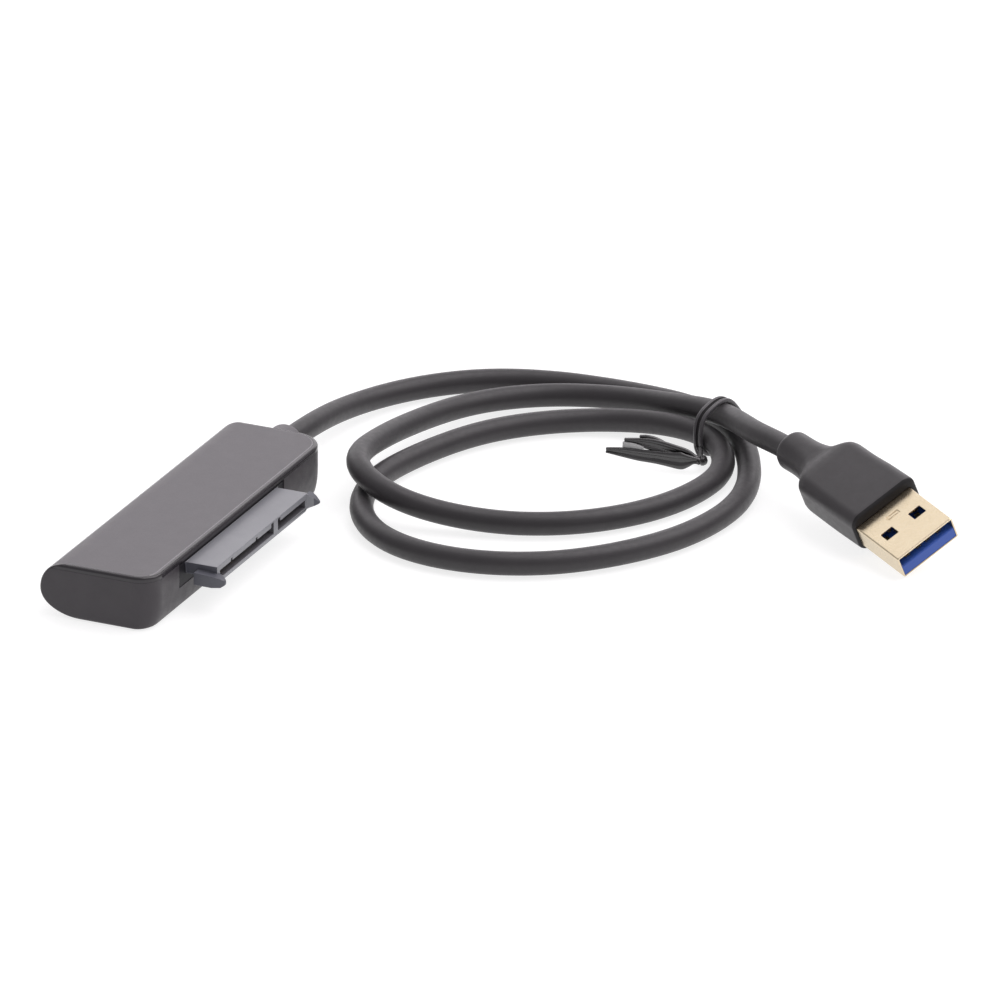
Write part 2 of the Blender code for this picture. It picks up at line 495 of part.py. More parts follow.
def main():
    clear_scene()
    case = bpy.data.objects.new("case_frame", None)
    bpy.context.scene.collection.objects.link(case)
    case.location = (CASE_X * MM, CASE_Y * MM, 0.0)
    make_case(case)
    make_receptacle(case)
    make_board(case)
    make_cable(case)
    plug = bpy.data.objects.new("plug_frame", None)
    bpy.context.scene.collection.objects.link(plug)
    plug.parent = case
    plug.location = Vector(PLUG_POINT) * MM
    plug.rotation_euler = Euler((PLUG_ROLL, PLUG_PITCH, PLUG_YAW), "XYZ")
    make_plug(plug)
    bpy.context.view_layer.update()


main()
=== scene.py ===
import math

import bmesh
import bpy
import numpy as np
from mathutils import Euler, Matrix, Vector


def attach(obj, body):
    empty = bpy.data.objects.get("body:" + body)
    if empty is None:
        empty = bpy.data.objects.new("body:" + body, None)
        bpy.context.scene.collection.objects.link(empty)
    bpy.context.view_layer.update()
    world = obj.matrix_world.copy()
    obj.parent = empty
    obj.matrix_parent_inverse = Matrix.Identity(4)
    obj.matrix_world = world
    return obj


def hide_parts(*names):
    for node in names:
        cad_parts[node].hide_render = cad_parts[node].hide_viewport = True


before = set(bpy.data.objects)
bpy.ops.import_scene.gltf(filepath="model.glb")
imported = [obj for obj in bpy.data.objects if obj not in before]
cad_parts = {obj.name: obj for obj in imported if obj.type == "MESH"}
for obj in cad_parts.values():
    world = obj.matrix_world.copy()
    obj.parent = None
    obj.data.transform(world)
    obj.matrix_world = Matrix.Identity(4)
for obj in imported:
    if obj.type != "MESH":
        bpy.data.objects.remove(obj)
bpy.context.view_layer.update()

MM = 0.001
scene = bpy.context.scene

# the middle of the case in the row's frame, mm; every piece of the case is written from there
CASE = Matrix.Translation(Vector((-3.855, -2.95, 0.0)) * MM)
LENGTH, WIDTH, HEIGHT, WALL = 70.2, 21.5, 9.7, 1.2
HALF = WIDTH / 2
SATA_Y, SATA_HALF, FRONT = -3.96, 18.0, 10.75 + 5.84
PLUG = CASE @ Matrix.Translation(Vector((120.52, 43.47, 4.8)) * MM) @ Euler((math.radians(26.62), math.radians(8.42), math.radians(-30.29)), "XYZ").to_matrix().to_4x4()

ROUTE = [
    (-0.2, 41.3, 4.85), (0.3, 51.0, 4.5), (1.3, 63.9, 3.1), (7.0, 77.7, 2.2), (18.0, 87.2, 2.2),
    (32.6, 91.7, 2.1), (47.7, 90.9, 2.6), (60.1, 86.4, 3.45), (68.5, 80.4, 3.15), (75.9, 69.3, 2.2),
    (80.2, 54.3, 2.1), (78.4, 39.1, 2.1), (71.1, 25.2, 2.2), (59.5, 15.1, 2.1), (45.8, 11.0, 2.1),
    (32.6, 13.6, 2.1), (23.0, 22.6, 2.1), (18.8, 36.0, 2.2), (21.1, 51.6, 2.1), (28.1, 66.2, 2.2),
    (49.4, 79.6, 2.6), (58.3, 78.7, 3.35), (66.3, 75.5, 3.2), (71.1, 68.9, 2.4), (71.8, 56.0, 2.1),
    (66.2, 42.6, 2.1), (55.3, 32.5, 2.1), (40.3, 27.2, 2.7), (26.0, 26.1, 5.4), (18.3, 31.4, 6.8),
    (15.0, 44.7, 5.9), (16.1, 62.2, 3.8), (21.2, 76.2, 2.7), (31.2, 84.8, 2.5), (43.8, 86.9, 3.3),
    (55.7, 83.9, 5.15), (64.9, 80.0, 6.8), (77.7, 69.1, 8.95), (83.64, 65.16, 9.39), (86.24, 63.37, 9.49),
]
CABLE_DIAMETER = 4.2


# ------------------------------------------------------------------ camera, at the photograph's angle
def make_camera():
    az, el = math.radians(24.526), math.radians(22.852)
    right = Vector((math.cos(az), math.sin(az), 0.0))
    ahead = Vector((-math.sin(az) * math.cos(el), math.cos(az) * math.cos(el), -math.sin(el)))
    up = right.cross(ahead)
    target = (CASE @ (Vector((45.03, 31.79, 5.0)) * MM))
    data = bpy.data.cameras.new("camera")
    data.sensor_width = 36.0
    data.sensor_fit = "HORIZONTAL"
    data.lens = 11535.1 / 1000.0 * 36.0
    data.clip_start, data.clip_end = 0.05, 20.0
    cam = bpy.data.objects.new("camera", data)
    scene.collection.objects.link(cam)
    rows = Matrix((right, up, -ahead)).transposed().to_4x4()
    cam.matrix_world = Matrix.Translation(target - ahead * 2.0) @ rows
    scene.camera = cam


make_camera()


# ------------------------------------------------------------------ node materials
class Shader:
    """A node material built a step at a time."""

    def __init__(self, name, colour, roughness, metallic=0.0, **sockets):
        self.mat = bpy.data.materials.new(name)
        self.mat.use_nodes = True
        self.nodes = self.mat.node_tree.nodes
        self.links = self.mat.node_tree.links
        self.bsdf = self.nodes["Principled BSDF"]
        self.bsdf.inputs["Base Color"].default_value = (*colour, 1.0)
        self.bsdf.inputs["Roughness"].default_value = roughness
        self.bsdf.inputs["Metallic"].default_value = metallic
        for key, value in sockets.items():
            self.bsdf.inputs[key.replace("_", " ")].default_value = value
        self.mat.diffuse_color = (*colour, 1.0)
        self.coords = self.nodes.new("ShaderNodeTexCoord")
        self.normal = None

    def space(self, scale=(1, 1, 1), rotation=(0, 0, 0)):
        mapping = self.nodes.new("ShaderNodeMapping")
        mapping.inputs["Scale"].default_value = scale
        mapping.inputs["Rotation"].default_value = rotation
        self.links.new(self.coords.outputs["Object"], mapping.inputs["Vector"])
        return mapping.outputs["Vector"]

    def noise(self, size_mm, detail=3.0, rough=0.55, stretch=(1, 1, 1), distortion=0.0):
        tex = self.nodes.new("ShaderNodeTexNoise")
        tex.inputs["Scale"].default_value = 1.0 / (size_mm * MM)
        tex.inputs["Detail"].default_value = detail
        tex.inputs["Roughness"].default_value = rough
        tex.inputs["Distortion"].default_value = distortion
        self.links.new(self.space(stretch), tex.inputs["Vector"])
        return tex.outputs["Fac"]

    def cells(self, size_mm, stretch=(1, 1, 1), feature="F1"):
        tex = self.nodes.new("ShaderNodeTexVoronoi")
        tex.feature = feature
        tex.inputs["Scale"].default_value = 1.0 / (size_mm * MM)
        self.links.new(self.space(stretch), tex.inputs["Vector"])
        return tex.outputs["Distance"]

    def ramp(self, value, stops):
        ramp = self.nodes.new("ShaderNodeValToRGB")
        while len(ramp.color_ramp.elements) < len(stops):
            ramp.color_ramp.elements.new(0.5)
        for element, (at, colour) in zip(ramp.color_ramp.elements, stops):
            element.position = at
            element.color = (*colour, 1.0) if len(colour) == 3 else colour
        self.links.new(value, ramp.inputs["Fac"])
        return ramp.outputs["Color"]

    def span(self, value, low, high, a=0.0, b=1.0):
        node = self.nodes.new("ShaderNodeMapRange")
        node.inputs["From Min"].default_value = low
        node.inputs["From Max"].default_value = high
        node.inputs["To Min"].default_value = a
        node.inputs["To Max"].default_value = b
        self.links.new(value, node.inputs["Value"])
        return node.outputs["Result"]

    def maths(self, operation, a, b):
        node = self.nodes.new("ShaderNodeMath")
        node.operation = operation
        for socket, value in zip(node.inputs, (a, b)):
            if isinstance(value, (int, float)):
                socket.default_value = value
            else:
                self.links.new(value, socket)
        return node.outputs["Value"]

    def bump(self, height, depth_mm, strength=1.0):
        node = self.nodes.new("ShaderNodeBump")
        node.inputs["Strength"].default_value = strength
        node.inputs["Distance"].default_value = depth_mm * MM
        self.links.new(height, node.inputs["Height"])
        if self.normal is not None:
            self.links.new(self.normal, node.inputs["Normal"])
        self.normal = node.outputs["Normal"]
        self.links.new(self.normal, self.bsdf.inputs["Normal"])
        return self

    def feed(self, socket, value):
        self.links.new(value, self.bsdf.inputs[socket])
        return self


def shade(colour, factor):
    return tuple(min(1.0, c * factor) for c in colour)


def moulded(name, colour, roughness, grain_mm=0.16, depth_mm=0.012, spread=0.12, vary=0.05, wave=0.35, **sockets):
    """Moulded plastic: spark-eroded grain, faint flow clouds in the colour, patches of polish."""
    s = Shader(name, colour, roughness, **sockets)
    clouds = s.noise(9.0, 3.0, 0.6)
    s.feed("Base Color", s.ramp(clouds, [(0.3, shade(colour, 1 - vary)), (0.7, shade(colour, 1 + vary))]))
    polish = s.noise(2.2, 4.0, 0.6)
    grain = s.noise(grain_mm, 2.0, 0.6)
    mixed = s.maths("ADD", s.span(polish, 0.3, 0.7, -spread / 2, spread / 2), s.span(grain, 0.3, 0.7, roughness - 0.04, roughness + 0.04))
    s.feed("Roughness", mixed)
    s.bump(s.noise(1.6, 2.0, 0.5), depth_mm * 0.7, wave)
    s.bump(grain, depth_mm, 0.8)
    return s.mat


def rubbery(name, colour, roughness, grain_mm=0.12, depth_mm=0.008, vary=0.1):
    """Soft jacket or grip: very fine tooth, a light bloom, small rubs."""
    s = Shader(name, colour, roughness)
    s.bsdf.inputs["Sheen Weight"].default_value = 0.12
    s.bsdf.inputs["Sheen Roughness"].default_value = 0.45
    clouds = s.noise(6.0, 4.0, 0.6, distortion=0.4)
    s.feed("Base Color", s.ramp(clouds, [(0.28, shade(colour, 1 - vary)), (0.72, shade(colour, 1 + vary))]))
    rubs = s.noise(1.1, 5.0, 0.65)
    s.feed("Roughness", s.span(rubs, 0.3, 0.75, roughness - 0.07, roughness + 0.09))
    s.bump(s.noise(1.3, 2.0, 0.5), depth_mm * 1.2, 0.3)
    s.bump(s.noise(grain_mm, 2.0, 0.6), depth_mm, 0.7)
    return s.mat


def plated(name, colour, roughness, brush=(1, 14, 1), grain_mm=0.25, depth_mm=0.0015, tint=0.05):
    """Plated sheet: faint rolled grain, slow clouding of tint and gloss."""
    s = Shader(name, colour, roughness, 1.0)
    clouds = s.noise(5.0, 3.0, 0.55)
    s.feed("Base Color", s.ramp(clouds, [(0.3, shade(colour, 1 - tint)), (0.55, colour), (0.75, tuple(min(1, c * (1 + tint * k)) for c, k in zip(colour, (0.4, 0.8, 1.6))))]))
    lines = s.noise(grain_mm, 4.0, 0.6, brush)
    s.feed("Roughness", s.maths("ADD", s.span(lines, 0.3, 0.7, roughness - 0.03, roughness + 0.05), s.span(clouds, 0.3, 0.7, -0.02, 0.03)))
    s.bump(lines, depth_mm, 0.5)
    s.bump(s.noise(2.6, 2.0, 0.5), depth_mm * 3, 0.3)
    return s.mat


case_mat = moulded("mat_case", (0.032, 0.0268, 0.0325), 0.44, 0.2, 0.010, wave=0.1)
# painted light: the cover's field is the case plastic painted several times lighter, for the light falling on the top
cover_lit_mat = moulded("mat_cover_lit", (0.113, 0.106, 0.1145), 0.52, 0.2, 0.014, 0.05, 0.02, 0.05)
rim_mat = moulded("mat_rim", (0.024, 0.021, 0.0245), 0.17, 0.9, 0.0004, 0.03, 0.03, 0.0)
# painted highlight: a thin light stripe just inside the cover's rim, for the light caught along the edge
highlight_line_mat = moulded("mat_highlight_line", (0.2, 0.193, 0.202), 0.4, 0.9, 0.0004, 0.03, 0.03, 0.0)
# painted shade: the flange in the window recess is painted near black, darker than the receptacle, for the shade in
# the recess
panel_shade_mat = moulded("mat_panel_shade", (0.012, 0.0115, 0.0145), 0.5, 0.18, 0.006, 0.06, 0.04)
panel_shade_mat.node_tree.nodes["Principled BSDF"].inputs["Specular IOR Level"].default_value = 0.2
inner_mat = moulded("mat_inner", (0.02, 0.019, 0.021), 0.55, 0.25, 0.008)
# painted light: the strain relief sleeve is painted in the same lit grey as the cover's top
relief_lit_mat = moulded("mat_relief_lit", (0.122, 0.114, 0.124), 0.5, 0.16, 0.008)
sata_mat = moulded("mat_receptacle", (0.208, 0.211, 0.229), 0.38, 0.18, 0.005, 0.08, 0.03)
# painted shade: a darker copy of the receptacle plastic for the inside of the slots
throat_shade_mat = moulded("mat_throat_shade", (0.1, 0.098, 0.108), 0.5, 0.18, 0.005, 0.08, 0.03)
# painted shade: a darker copy of the receptacle plastic for the ears and the nose's near side, which face away from
# the light
side_shade_mat = moulded("mat_receptacle_side_shade", (0.08, 0.082, 0.1), 0.42, 0.18, 0.005, 0.08, 0.03)
cable_mat = rubbery("mat_cable", (0.0255, 0.0225, 0.0253), 0.48)
grip_mat = rubbery("mat_grip", (0.034, 0.0305, 0.0335), 0.46, 0.16, 0.010)
# painted shade: a near-black copy of the grip rubber for the grip's front rounding and the crease down the middle of
# the tie band
painted_shade_mat = rubbery("mat_painted_shade", (0.010, 0.009, 0.010), 0.6, 0.16, 0.010)
painted_shade_mat.node_tree.nodes["Principled BSDF"].inputs["Sheen Weight"].default_value = 0.0
painted_shade_mat.node_tree.nodes["Principled BSDF"].inputs["Specular IOR Level"].default_value = 0.3
tie_mat = rubbery("mat_tie", (0.017, 0.0155, 0.017), 0.3, 0.2, 0.003)
tie_mat.node_tree.nodes["Principled BSDF"].inputs["Specular IOR Level"].default_value = 0.9
# painted highlight: the tie band's ridges are a lighter copy of the tie plastic, for the light along them
ridge_lit_mat = rubbery("mat_tie_ridge_lit", (0.062, 0.058, 0.063), 0.32, 0.2, 0.002)
web_mat = rubbery("mat_tie_core", (0.42, 0.42, 0.42), 0.5, 0.2, 0.01)
shell_mat = plated("mat_shell", (0.77, 0.65, 0.47), 0.25)
blue_mat = moulded("mat_blue", (0.022, 0.078, 0.37), 0.36, 0.15, 0.004, 0.08, 0.04)
gold_mat = plated("mat_contact", (0.86, 0.63, 0.27), 0.26, (1, 8, 1), 0.15)
can_mat = plated("mat_can", (0.72, 0.7, 0.66), 0.28)
chip_mat = moulded("mat_chip", (0.016, 0.016, 0.018), 0.5, 0.12, 0.01)
ferrite_mat = moulded("mat_ferrite", (0.06, 0.06, 0.065), 0.62, 0.18, 0.02)
tan_mat = moulded("mat_capacitor", (0.42, 0.23, 0.075), 0.45, 0.2, 0.006)
board_mat = moulded("mat_board", (0.012, 0.10, 0.04), 0.3, 0.6, 0.006, 0.1, 0.2)
for name, colour in {"power": (0.5, 0.02, 0.015), "data_minus": (0.7, 0.7, 0.66), "shield_drain": (0.32, 0.3, 0.27), "data_plus": (0.02, 0.3, 0.06), "ground": (0.02, 0.02, 0.02)}.items():
    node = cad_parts["wire_" + name]
    node.data.materials.clear()
    node.data.materials.append(rubbery("mat_wire_" + name, colour, 0.35, 0.15, 0.004))


def dress(mat, *names):
    for name in names:
        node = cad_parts[name]
        node.data.materials.clear()
        node.data.materials.append(mat)


dress(board_mat, "circuit_board")
dress(chip_mat, "bridge_chip", "memory_chip")
dress(can_mat, "clock_crystal")
dress(ferrite_mat, "power_inductor")
dress(tan_mat, "input_capacitor", "output_capacitor")
dress(gold_mat, *[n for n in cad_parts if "contact" in n])


# ------------------------------------------------------------------ mesh helpers
def add(name, mesh, mats, place=CASE, replaces=(), smooth=35, rides=True):
    mesh.transform(place)
    obj = bpy.data.objects.new(name, mesh)
    scene.collection.objects.link(obj)
    for mat in mats:
        mesh.materials.append(mat)
    if smooth:
        mesh.shade_smooth()
        mesh.set_sharp_from_angle(angle=math.radians(smooth))
    if rides:
        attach(obj, "root")
    if replaces:
        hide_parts(*replaces)
    return obj


def lofted(name, rings, cap=True, closed_path=False, bands=None, cap_mats=(0, 0)):
    """A body through rings of points in mm. bands gives a material index for each step."""
    bm = bmesh.new()
    loops = [[bm.verts.new(Vector(p) * MM) for p in ring] for ring in rings]
    pairs = list(zip(loops[:-1], loops[1:]))
    if closed_path:
        pairs.append((loops[-1], loops[0]))
    for step, (low, high) in enumerate(pairs):
        count = len(low)
        for i in range(count):
            j = (i + 1) % count
            face = bm.faces.new((low[i], low[j], high[j], high[i]))
            if bands:
                face.material_index = bands[step]
    if cap and not closed_path:
        bm.faces.new(loops[0]).material_index = cap_mats[0]
        bm.faces.new(loops[-1]).material_index = cap_mats[1]
    bmesh.ops.recalc_face_normals(bm, faces=bm.faces)
    mesh = bpy.data.meshes.new(name)
    bm.to_mesh(mesh)
    bm.free()
    return mesh


def boxy(name, low, high):
    bm = bmesh.new()
    bmesh.ops.create_cube(bm, size=1.0)
    for vert in bm.verts:
        vert.co = Vector([(low[i] + (vert.co[i] + 0.5) * (high[i] - low[i])) * MM for i in range(3)])
    bmesh.ops.recalc_face_normals(bm, faces=bm.faces)
    mesh = bpy.data.meshes.new(name)
    bm.to_mesh(mesh)
    bm.free()
    return mesh


def carve(obj, tools, place=CASE):
    """Applies a list of (mesh, operation) to obj, and removes the tools again."""
    helpers = []
    for k, (mesh, operation) in enumerate(tools):
        mesh.transform(place)
        tool = bpy.data.objects.new(f"{obj.name}_tool_{k}", mesh)
        scene.collection.objects.link(tool)
        mod = obj.modifiers.new(f"cut_{k}", "BOOLEAN")
        mod.operation, mod.solver, mod.object = operation, "EXACT", tool
        helpers.append(tool)
    bpy.context.view_layer.update()
    graph = bpy.context.evaluated_depsgraph_get()
    mesh = bpy.data.meshes.new_from_object(obj.evaluated_get(graph), depsgraph=graph)
    obj.modifiers.clear()
    mats = [m for m in obj.data.materials]
    obj.data = mesh
    mesh.materials.clear()
    for mat in mats:
        mesh.materials.append(mat)
    for tool in helpers:
        bpy.data.objects.remove(tool)


def soften(obj, width_mm, segments=2, angle=40):
    mod = obj.modifiers.new("edge", "BEVEL")
    mod.width = width_mm * MM
    mod.segments = segments
    mod.limit_method = "ANGLE"
    mod.angle_limit = math.radians(angle)
    mod.use_clamp_overlap = False
    mod.harden_normals = True
    mod.miter_outer = "MITER_ARC"


def rounded_rect(a, b, radius, per_corner=6, hold=0.0):
    """Corner arcs; hold adds a point on the flat at each end of an arc, so that the flat stays flat."""
    points = []
    for quarter, (su, sv) in enumerate(((1, 1), (-1, 1), (-1, -1), (1, -1))):
        for k in range(per_corner + 1):
            angle = math.pi / 2 * (quarter + k / per_corner)
            spot = (su * (a - radius) + radius * math.cos(angle), sv * (b - radius) + radius * math.sin(angle))
            if hold and k == 0:
                points.append((spot[0] + hold * math.sin(angle), spot[1] - hold * math.cos(angle)))
            points.append(spot)
            if hold and k == per_corner:
                points.append((spot[0] - hold * math.sin(angle), spot[1] + hold * math.cos(angle)))
    return points


def natural_spline(points, count):
    knots = np.array(points, dtype=float)
    t = np.concatenate([[0.0], np.cumsum(np.linalg.norm(np.diff(knots, axis=0), axis=1))])
    h = np.diff(t)
    n = len(t)
    system = np.zeros((n, n))
    right = np.zeros((n, knots.shape[1]))
    system[0, 0] = system[-1, -1] = 1.0
    for i in range(1, n - 1):
        system[i, i - 1], system[i, i], system[i, i + 1] = h[i - 1], 2 * (h[i - 1] + h[i]), h[i]
        right[i] = 3 * ((knots[i + 1] - knots[i]) / h[i] - (knots[i] - knots[i - 1]) / h[i - 1])
    c = np.linalg.solve(system, right)

    def evaluate(values):
        k = np.clip(np.searchsorted(t, values, side="right") - 1, 0, n - 2)
        s = (values - t[k])[:, None]
        hk = h[k][:, None]
        b = (knots[k + 1] - knots[k]) / hk - hk * (2 * c[k] + c[k + 1]) / 3
        d = (c[k + 1] - c[k]) / (3 * hk)
        return knots[k] + b * s + c[k] * s**2 + d * s**3

    fine = evaluate(np.linspace(0.0, t[-1], 6000))
    run = np.concatenate([[0.0], np.cumsum(np.linalg.norm(np.diff(fine, axis=0), axis=1))])
    return evaluate(np.interp(np.linspace(0.0, run[-1], count), run, np.linspace(0.0, t[-1], 6000))), run[-1]


def pchip(xs, ys, at):
    """Monotone cubic through (xs, ys), so that a waist never overshoots."""
    xs, ys = np.array(xs, float), np.array(ys, float)
    h, d = np.diff(xs), np.diff(ys) / np.diff(xs)
    m = np.zeros(len(xs))
    for i in range(1, len(xs) - 1):
        if d[i - 1] * d[i] > 0:
            w1, w2 = 2 * h[i] + h[i - 1], h[i] + 2 * h[i - 1]
            m[i] = (w1 + w2) / (w1 / d[i - 1] + w2 / d[i])
    m[0], m[-1] = d[0], d[-1]
    k = np.clip(np.searchsorted(xs, at, side="right") - 1, 0, len(xs) - 2)
    s = (at - xs[k]) / h[k]
    return ys[k] * (1 + 2 * s) * (1 - s) ** 2 + m[k] * h[k] * s * (1 - s) ** 2 + ys[k + 1] * s * s * (3 - 2 * s) + m[k + 1] * h[k] * s * s * (s - 1)


# ------------------------------------------------------------------ the cable, first of the pieces
def make_cable():
    points, length = natural_spline(ROUTE, 620)
    points[:, 2] = np.maximum(points[:, 2], CABLE_DIAMETER / 2 + 0.02)
    curve = bpy.data.curves.new("cable_jacket", "CURVE")
    curve.dimensions = "3D"
    curve.bevel_depth = CABLE_DIAMETER / 2 * MM
    curve.bevel_resolution = 8
    curve.use_fill_caps = True
    spline = curve.splines.new("POLY")
    spline.points.add(len(points) - 1)
    for point, place in zip(spline.points, points):
        spot = CASE @ (Vector(place) * MM)
        point.co = (*spot, 1.0)
    curve.materials.append(cable_mat)
    obj = bpy.data.objects.new("cable_jacket", curve)
    scene.collection.objects.link(obj)
    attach(obj, "root")
    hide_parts("cable")
    return obj, points, length


cable_obj, cable_path, cable_length = make_cable()


# ------------------------------------------------------------------ the case
TOP_ROUND, END_ROUND, SIDE_ROUND, CORNER, NOSE_CORNER = 0.5, 0.55, (1.45, 5.6), (4.0, 6.0), 0.55
BELLY = (9.2, 2.2)
SEAM_LOW, SEAM_HIGH = 8.72, 8.735


def edge_round(z, wide, high):
    if z < high:
        return wide * (1 - math.sqrt(max(1 - ((high - z) / high) ** 2, 0.0)))
    top = HEIGHT - TOP_ROUND
    if z > top:
        return TOP_ROUND - math.sqrt(max(TOP_ROUND**2 - (z - top) ** 2, 0.0))
    return 0.0


def plan(z, inset=0.0, left=None, height=None, big_steps=18, small_steps=6, sides=None, near=1.0):
    nose = HEIGHT / 2
    if left is None and inset == 0.0 and z < nose:
        wide, power = BELLY
        left = wide - HALF - wide * (1 - ((nose - z) / nose) ** power) ** (1 / power)
    elif left is None:
        left = nose - HALF - math.sqrt(max((nose - inset) ** 2 - (z - nose) ** 2, 0.0))
    side = sides if sides is not None else (edge_round(z, *SIDE_ROUND) if inset == 0.0 else 0.0)
    ends = sides * near if sides is not None else (edge_round(z, END_ROUND, END_ROUND) if inset == 0.0 else 0.0)
    right, end = HALF - inset - side, LENGTH / 2 - inset - ends
    big, back = [(max(r - inset - side, 0.4), max(r - inset - ends, 0.4)) for r in CORNER]
    small = max((NOSE_CORNER if inset == 0.0 else 0.3) - ends, 0.04)
    points = []
    corners = (
        (left + small, -end + small, (small, small), math.pi, small_steps),
        (right - big[0], -end + big[1], big, 1.5 * math.pi, big_steps),
        (right - back[0], end - back[1], back, 0.0, big_steps),
        (left + small, end - small, (small, small), 0.5 * math.pi, small_steps),
    )
    for cx, cy, radii, start, steps in corners:
        for k in range(steps + 1):
            angle = start + math.pi / 2 * k / steps
            points.append((cx + radii[0] * math.cos(angle), cy + radii[1] * math.sin(angle), height if height is not None else z))
    return points


def levels(low, high):
    marks = [low, high]
    marks += [HEIGHT / 2 * (1 - math.cos(t)) for t in np.linspace(0, math.pi, 41)]
    marks += [SIDE_ROUND[1] * (1 - math.cos(t)) for t in np.linspace(0, math.pi / 2, 25)]
    marks += [END_ROUND * (1 - math.cos(t)) for t in np.linspace(0, math.pi / 2, 7)]
    marks += [HEIGHT - TOP_ROUND * (1 - math.cos(t)) for t in np.linspace(0, math.pi / 2, 9)]
    kept = []
    for z in sorted(m for m in marks if low <= m <= high):
        if not kept or z - kept[-1] > 0.012:
            kept.append(z)
    kept[-1] = high
    return kept


def make_case():
    outside = levels(0.0, SEAM_LOW)
    rings = [plan(z) for z in outside]
    inside = [SEAM_LOW, 8.0, 7.2, 6.1, 4.85, 3.6, 2.5, 1.8, WALL]
    rings += [plan(z, WALL) for z in inside]
    bands = [0] * (len(outside) - 1) + [0] + [1] * (len(inside) - 1)
    tub = add("case_tub", lofted("case_tub", rings, bands=bands, cap_mats=(0, 1)), [case_mat, inner_mat], replaces=("bottom_shell",), smooth=0)
    hole = [(RELIEF[0] + 2.9 * math.cos(a), RELIEF[1] + 2.9 * math.sin(a)) for a in np.linspace(0, 2 * math.pi, 48, endpoint=False)]
    carve(tub, [
        (boxy("window", (HALF - 2.6, SATA_Y - 20.65, 4.3), (HALF + 2, SATA_Y + 20.65, 9.6)), "DIFFERENCE"),
        (lofted("bore", [[(x, LENGTH / 2 - 2.2, z) for x, z in hole], [(x, LENGTH / 2 + 1, z) for x, z in hole]]), "DIFFERENCE"),
    ])
    tub.data.shade_smooth()
    tub.data.set_sharp_from_angle(angle=math.radians(30))
    soften(tub, 0.05, 2, 60)

    # the cover: rounded rim, a fine groove inside it, and the grained field, which is painted lighter than the case
    # plastic as painted light from above
    left = HEIGHT / 2 - HALF
    outside = levels(SEAM_HIGH, HEIGHT)
    rings = [plan(SEAM_HIGH, 1.4, left + 0.3), plan(SEAM_HIGH, 0.35, left - 1.4)] + [plan(z) for z in outside]
    bands = [0] * (len(outside) + 1)
    # the steps into the third and fourth rings carry the painted highlight stripe just inside the groove
    for inset, drop, band in ((0.84, 0.0, 0), (0.89, 0.05, 0), (0.94, 0.0, 2), (1.12, 0.0, 2)):
        ring = plan(HEIGHT, 0.0, left + 0.02 + inset * 0.02, HEIGHT, sides=inset, near=0.72)
        lowered = []
        for x, y, z in ring:
            fade = min(max((x - left - 1.0) / 3.0, 0.0), 1.0)
            lowered.append((x, y, z - drop * fade))
        rings.append(lowered)
        bands.append(band)
    rings.append(plan(HEIGHT, 0.0, left + 0.3, HEIGHT, sides=1.4))
    bands.append(1)
    cover = add("case_cover", lofted("case_cover", rings, bands=bands, cap_mats=(0, 1)), [rim_mat, cover_lit_mat, highlight_line_mat], replaces=("top_cover",), smooth=40)
    # the left rounding near the nose takes the same painted-light grey as the field
    for face in cover.data.polygons:
        spot = (CASE.inverted() @ face.center) / MM
        if spot.x < left + 3.0 and spot.z > 8.9 and abs(spot.y) < LENGTH / 2 - 0.5:
            face.material_index = 1
        # near the near end the painted highlight stripe goes back to rim colour
        elif face.material_index == 2 and spot.y < -LENGTH / 2 + 2.2:
            face.material_index = 0


RELIEF = (-0.2, 4.85)


def make_relief():
    end = LENGTH / 2
    stations = [(end - 3.7, 3.0), (end - 3.5, 3.35), (end - 1.5, 3.35), (end - 1.5, 2.7), (end + 0.05, 2.7), (end + 0.05, 3.4)]
    for t in np.linspace(0, 1, 5):
        stations.append((end + 0.1 + 4.9 * t, 3.45 - 0.08 * t))
    for t in np.linspace(0.15, 1, 8):
        stations.append((end + 5.0 + 0.9 * math.sin(t * math.pi / 2), 3.37 - 0.6 * (1 - math.cos(t * math.pi / 2))))
    stations += [(end + 5.88, 2.45), (end + 5.8, 2.1), (end + 6.18, 2.08)]
    bands = [0] * (len(stations) - 2) + [1]
    rings = [[(RELIEF[0] + r * math.cos(a), y, RELIEF[1] + r * math.sin(a)) for a in np.linspace(0, 2 * math.pi, 72, endpoint=False)] for y, r in stations]
    # the sleeve is in the painted-light grey of the cover's top
    add("relief_sleeve", lofted("relief_sleeve", rings, bands=bands, cap_mats=(0, 1)), [relief_lit_mat, cable_mat], replaces=("strain_relief",), smooth=35)


make_case()
make_relief()


# ------------------------------------------------------------------ the receptacle
def slab(name, outline, low, high):
    """A (y, z) outline pushed along X."""
    return lofted(name, [[(x, y, z) for y, z in outline] for x in (low, high)])


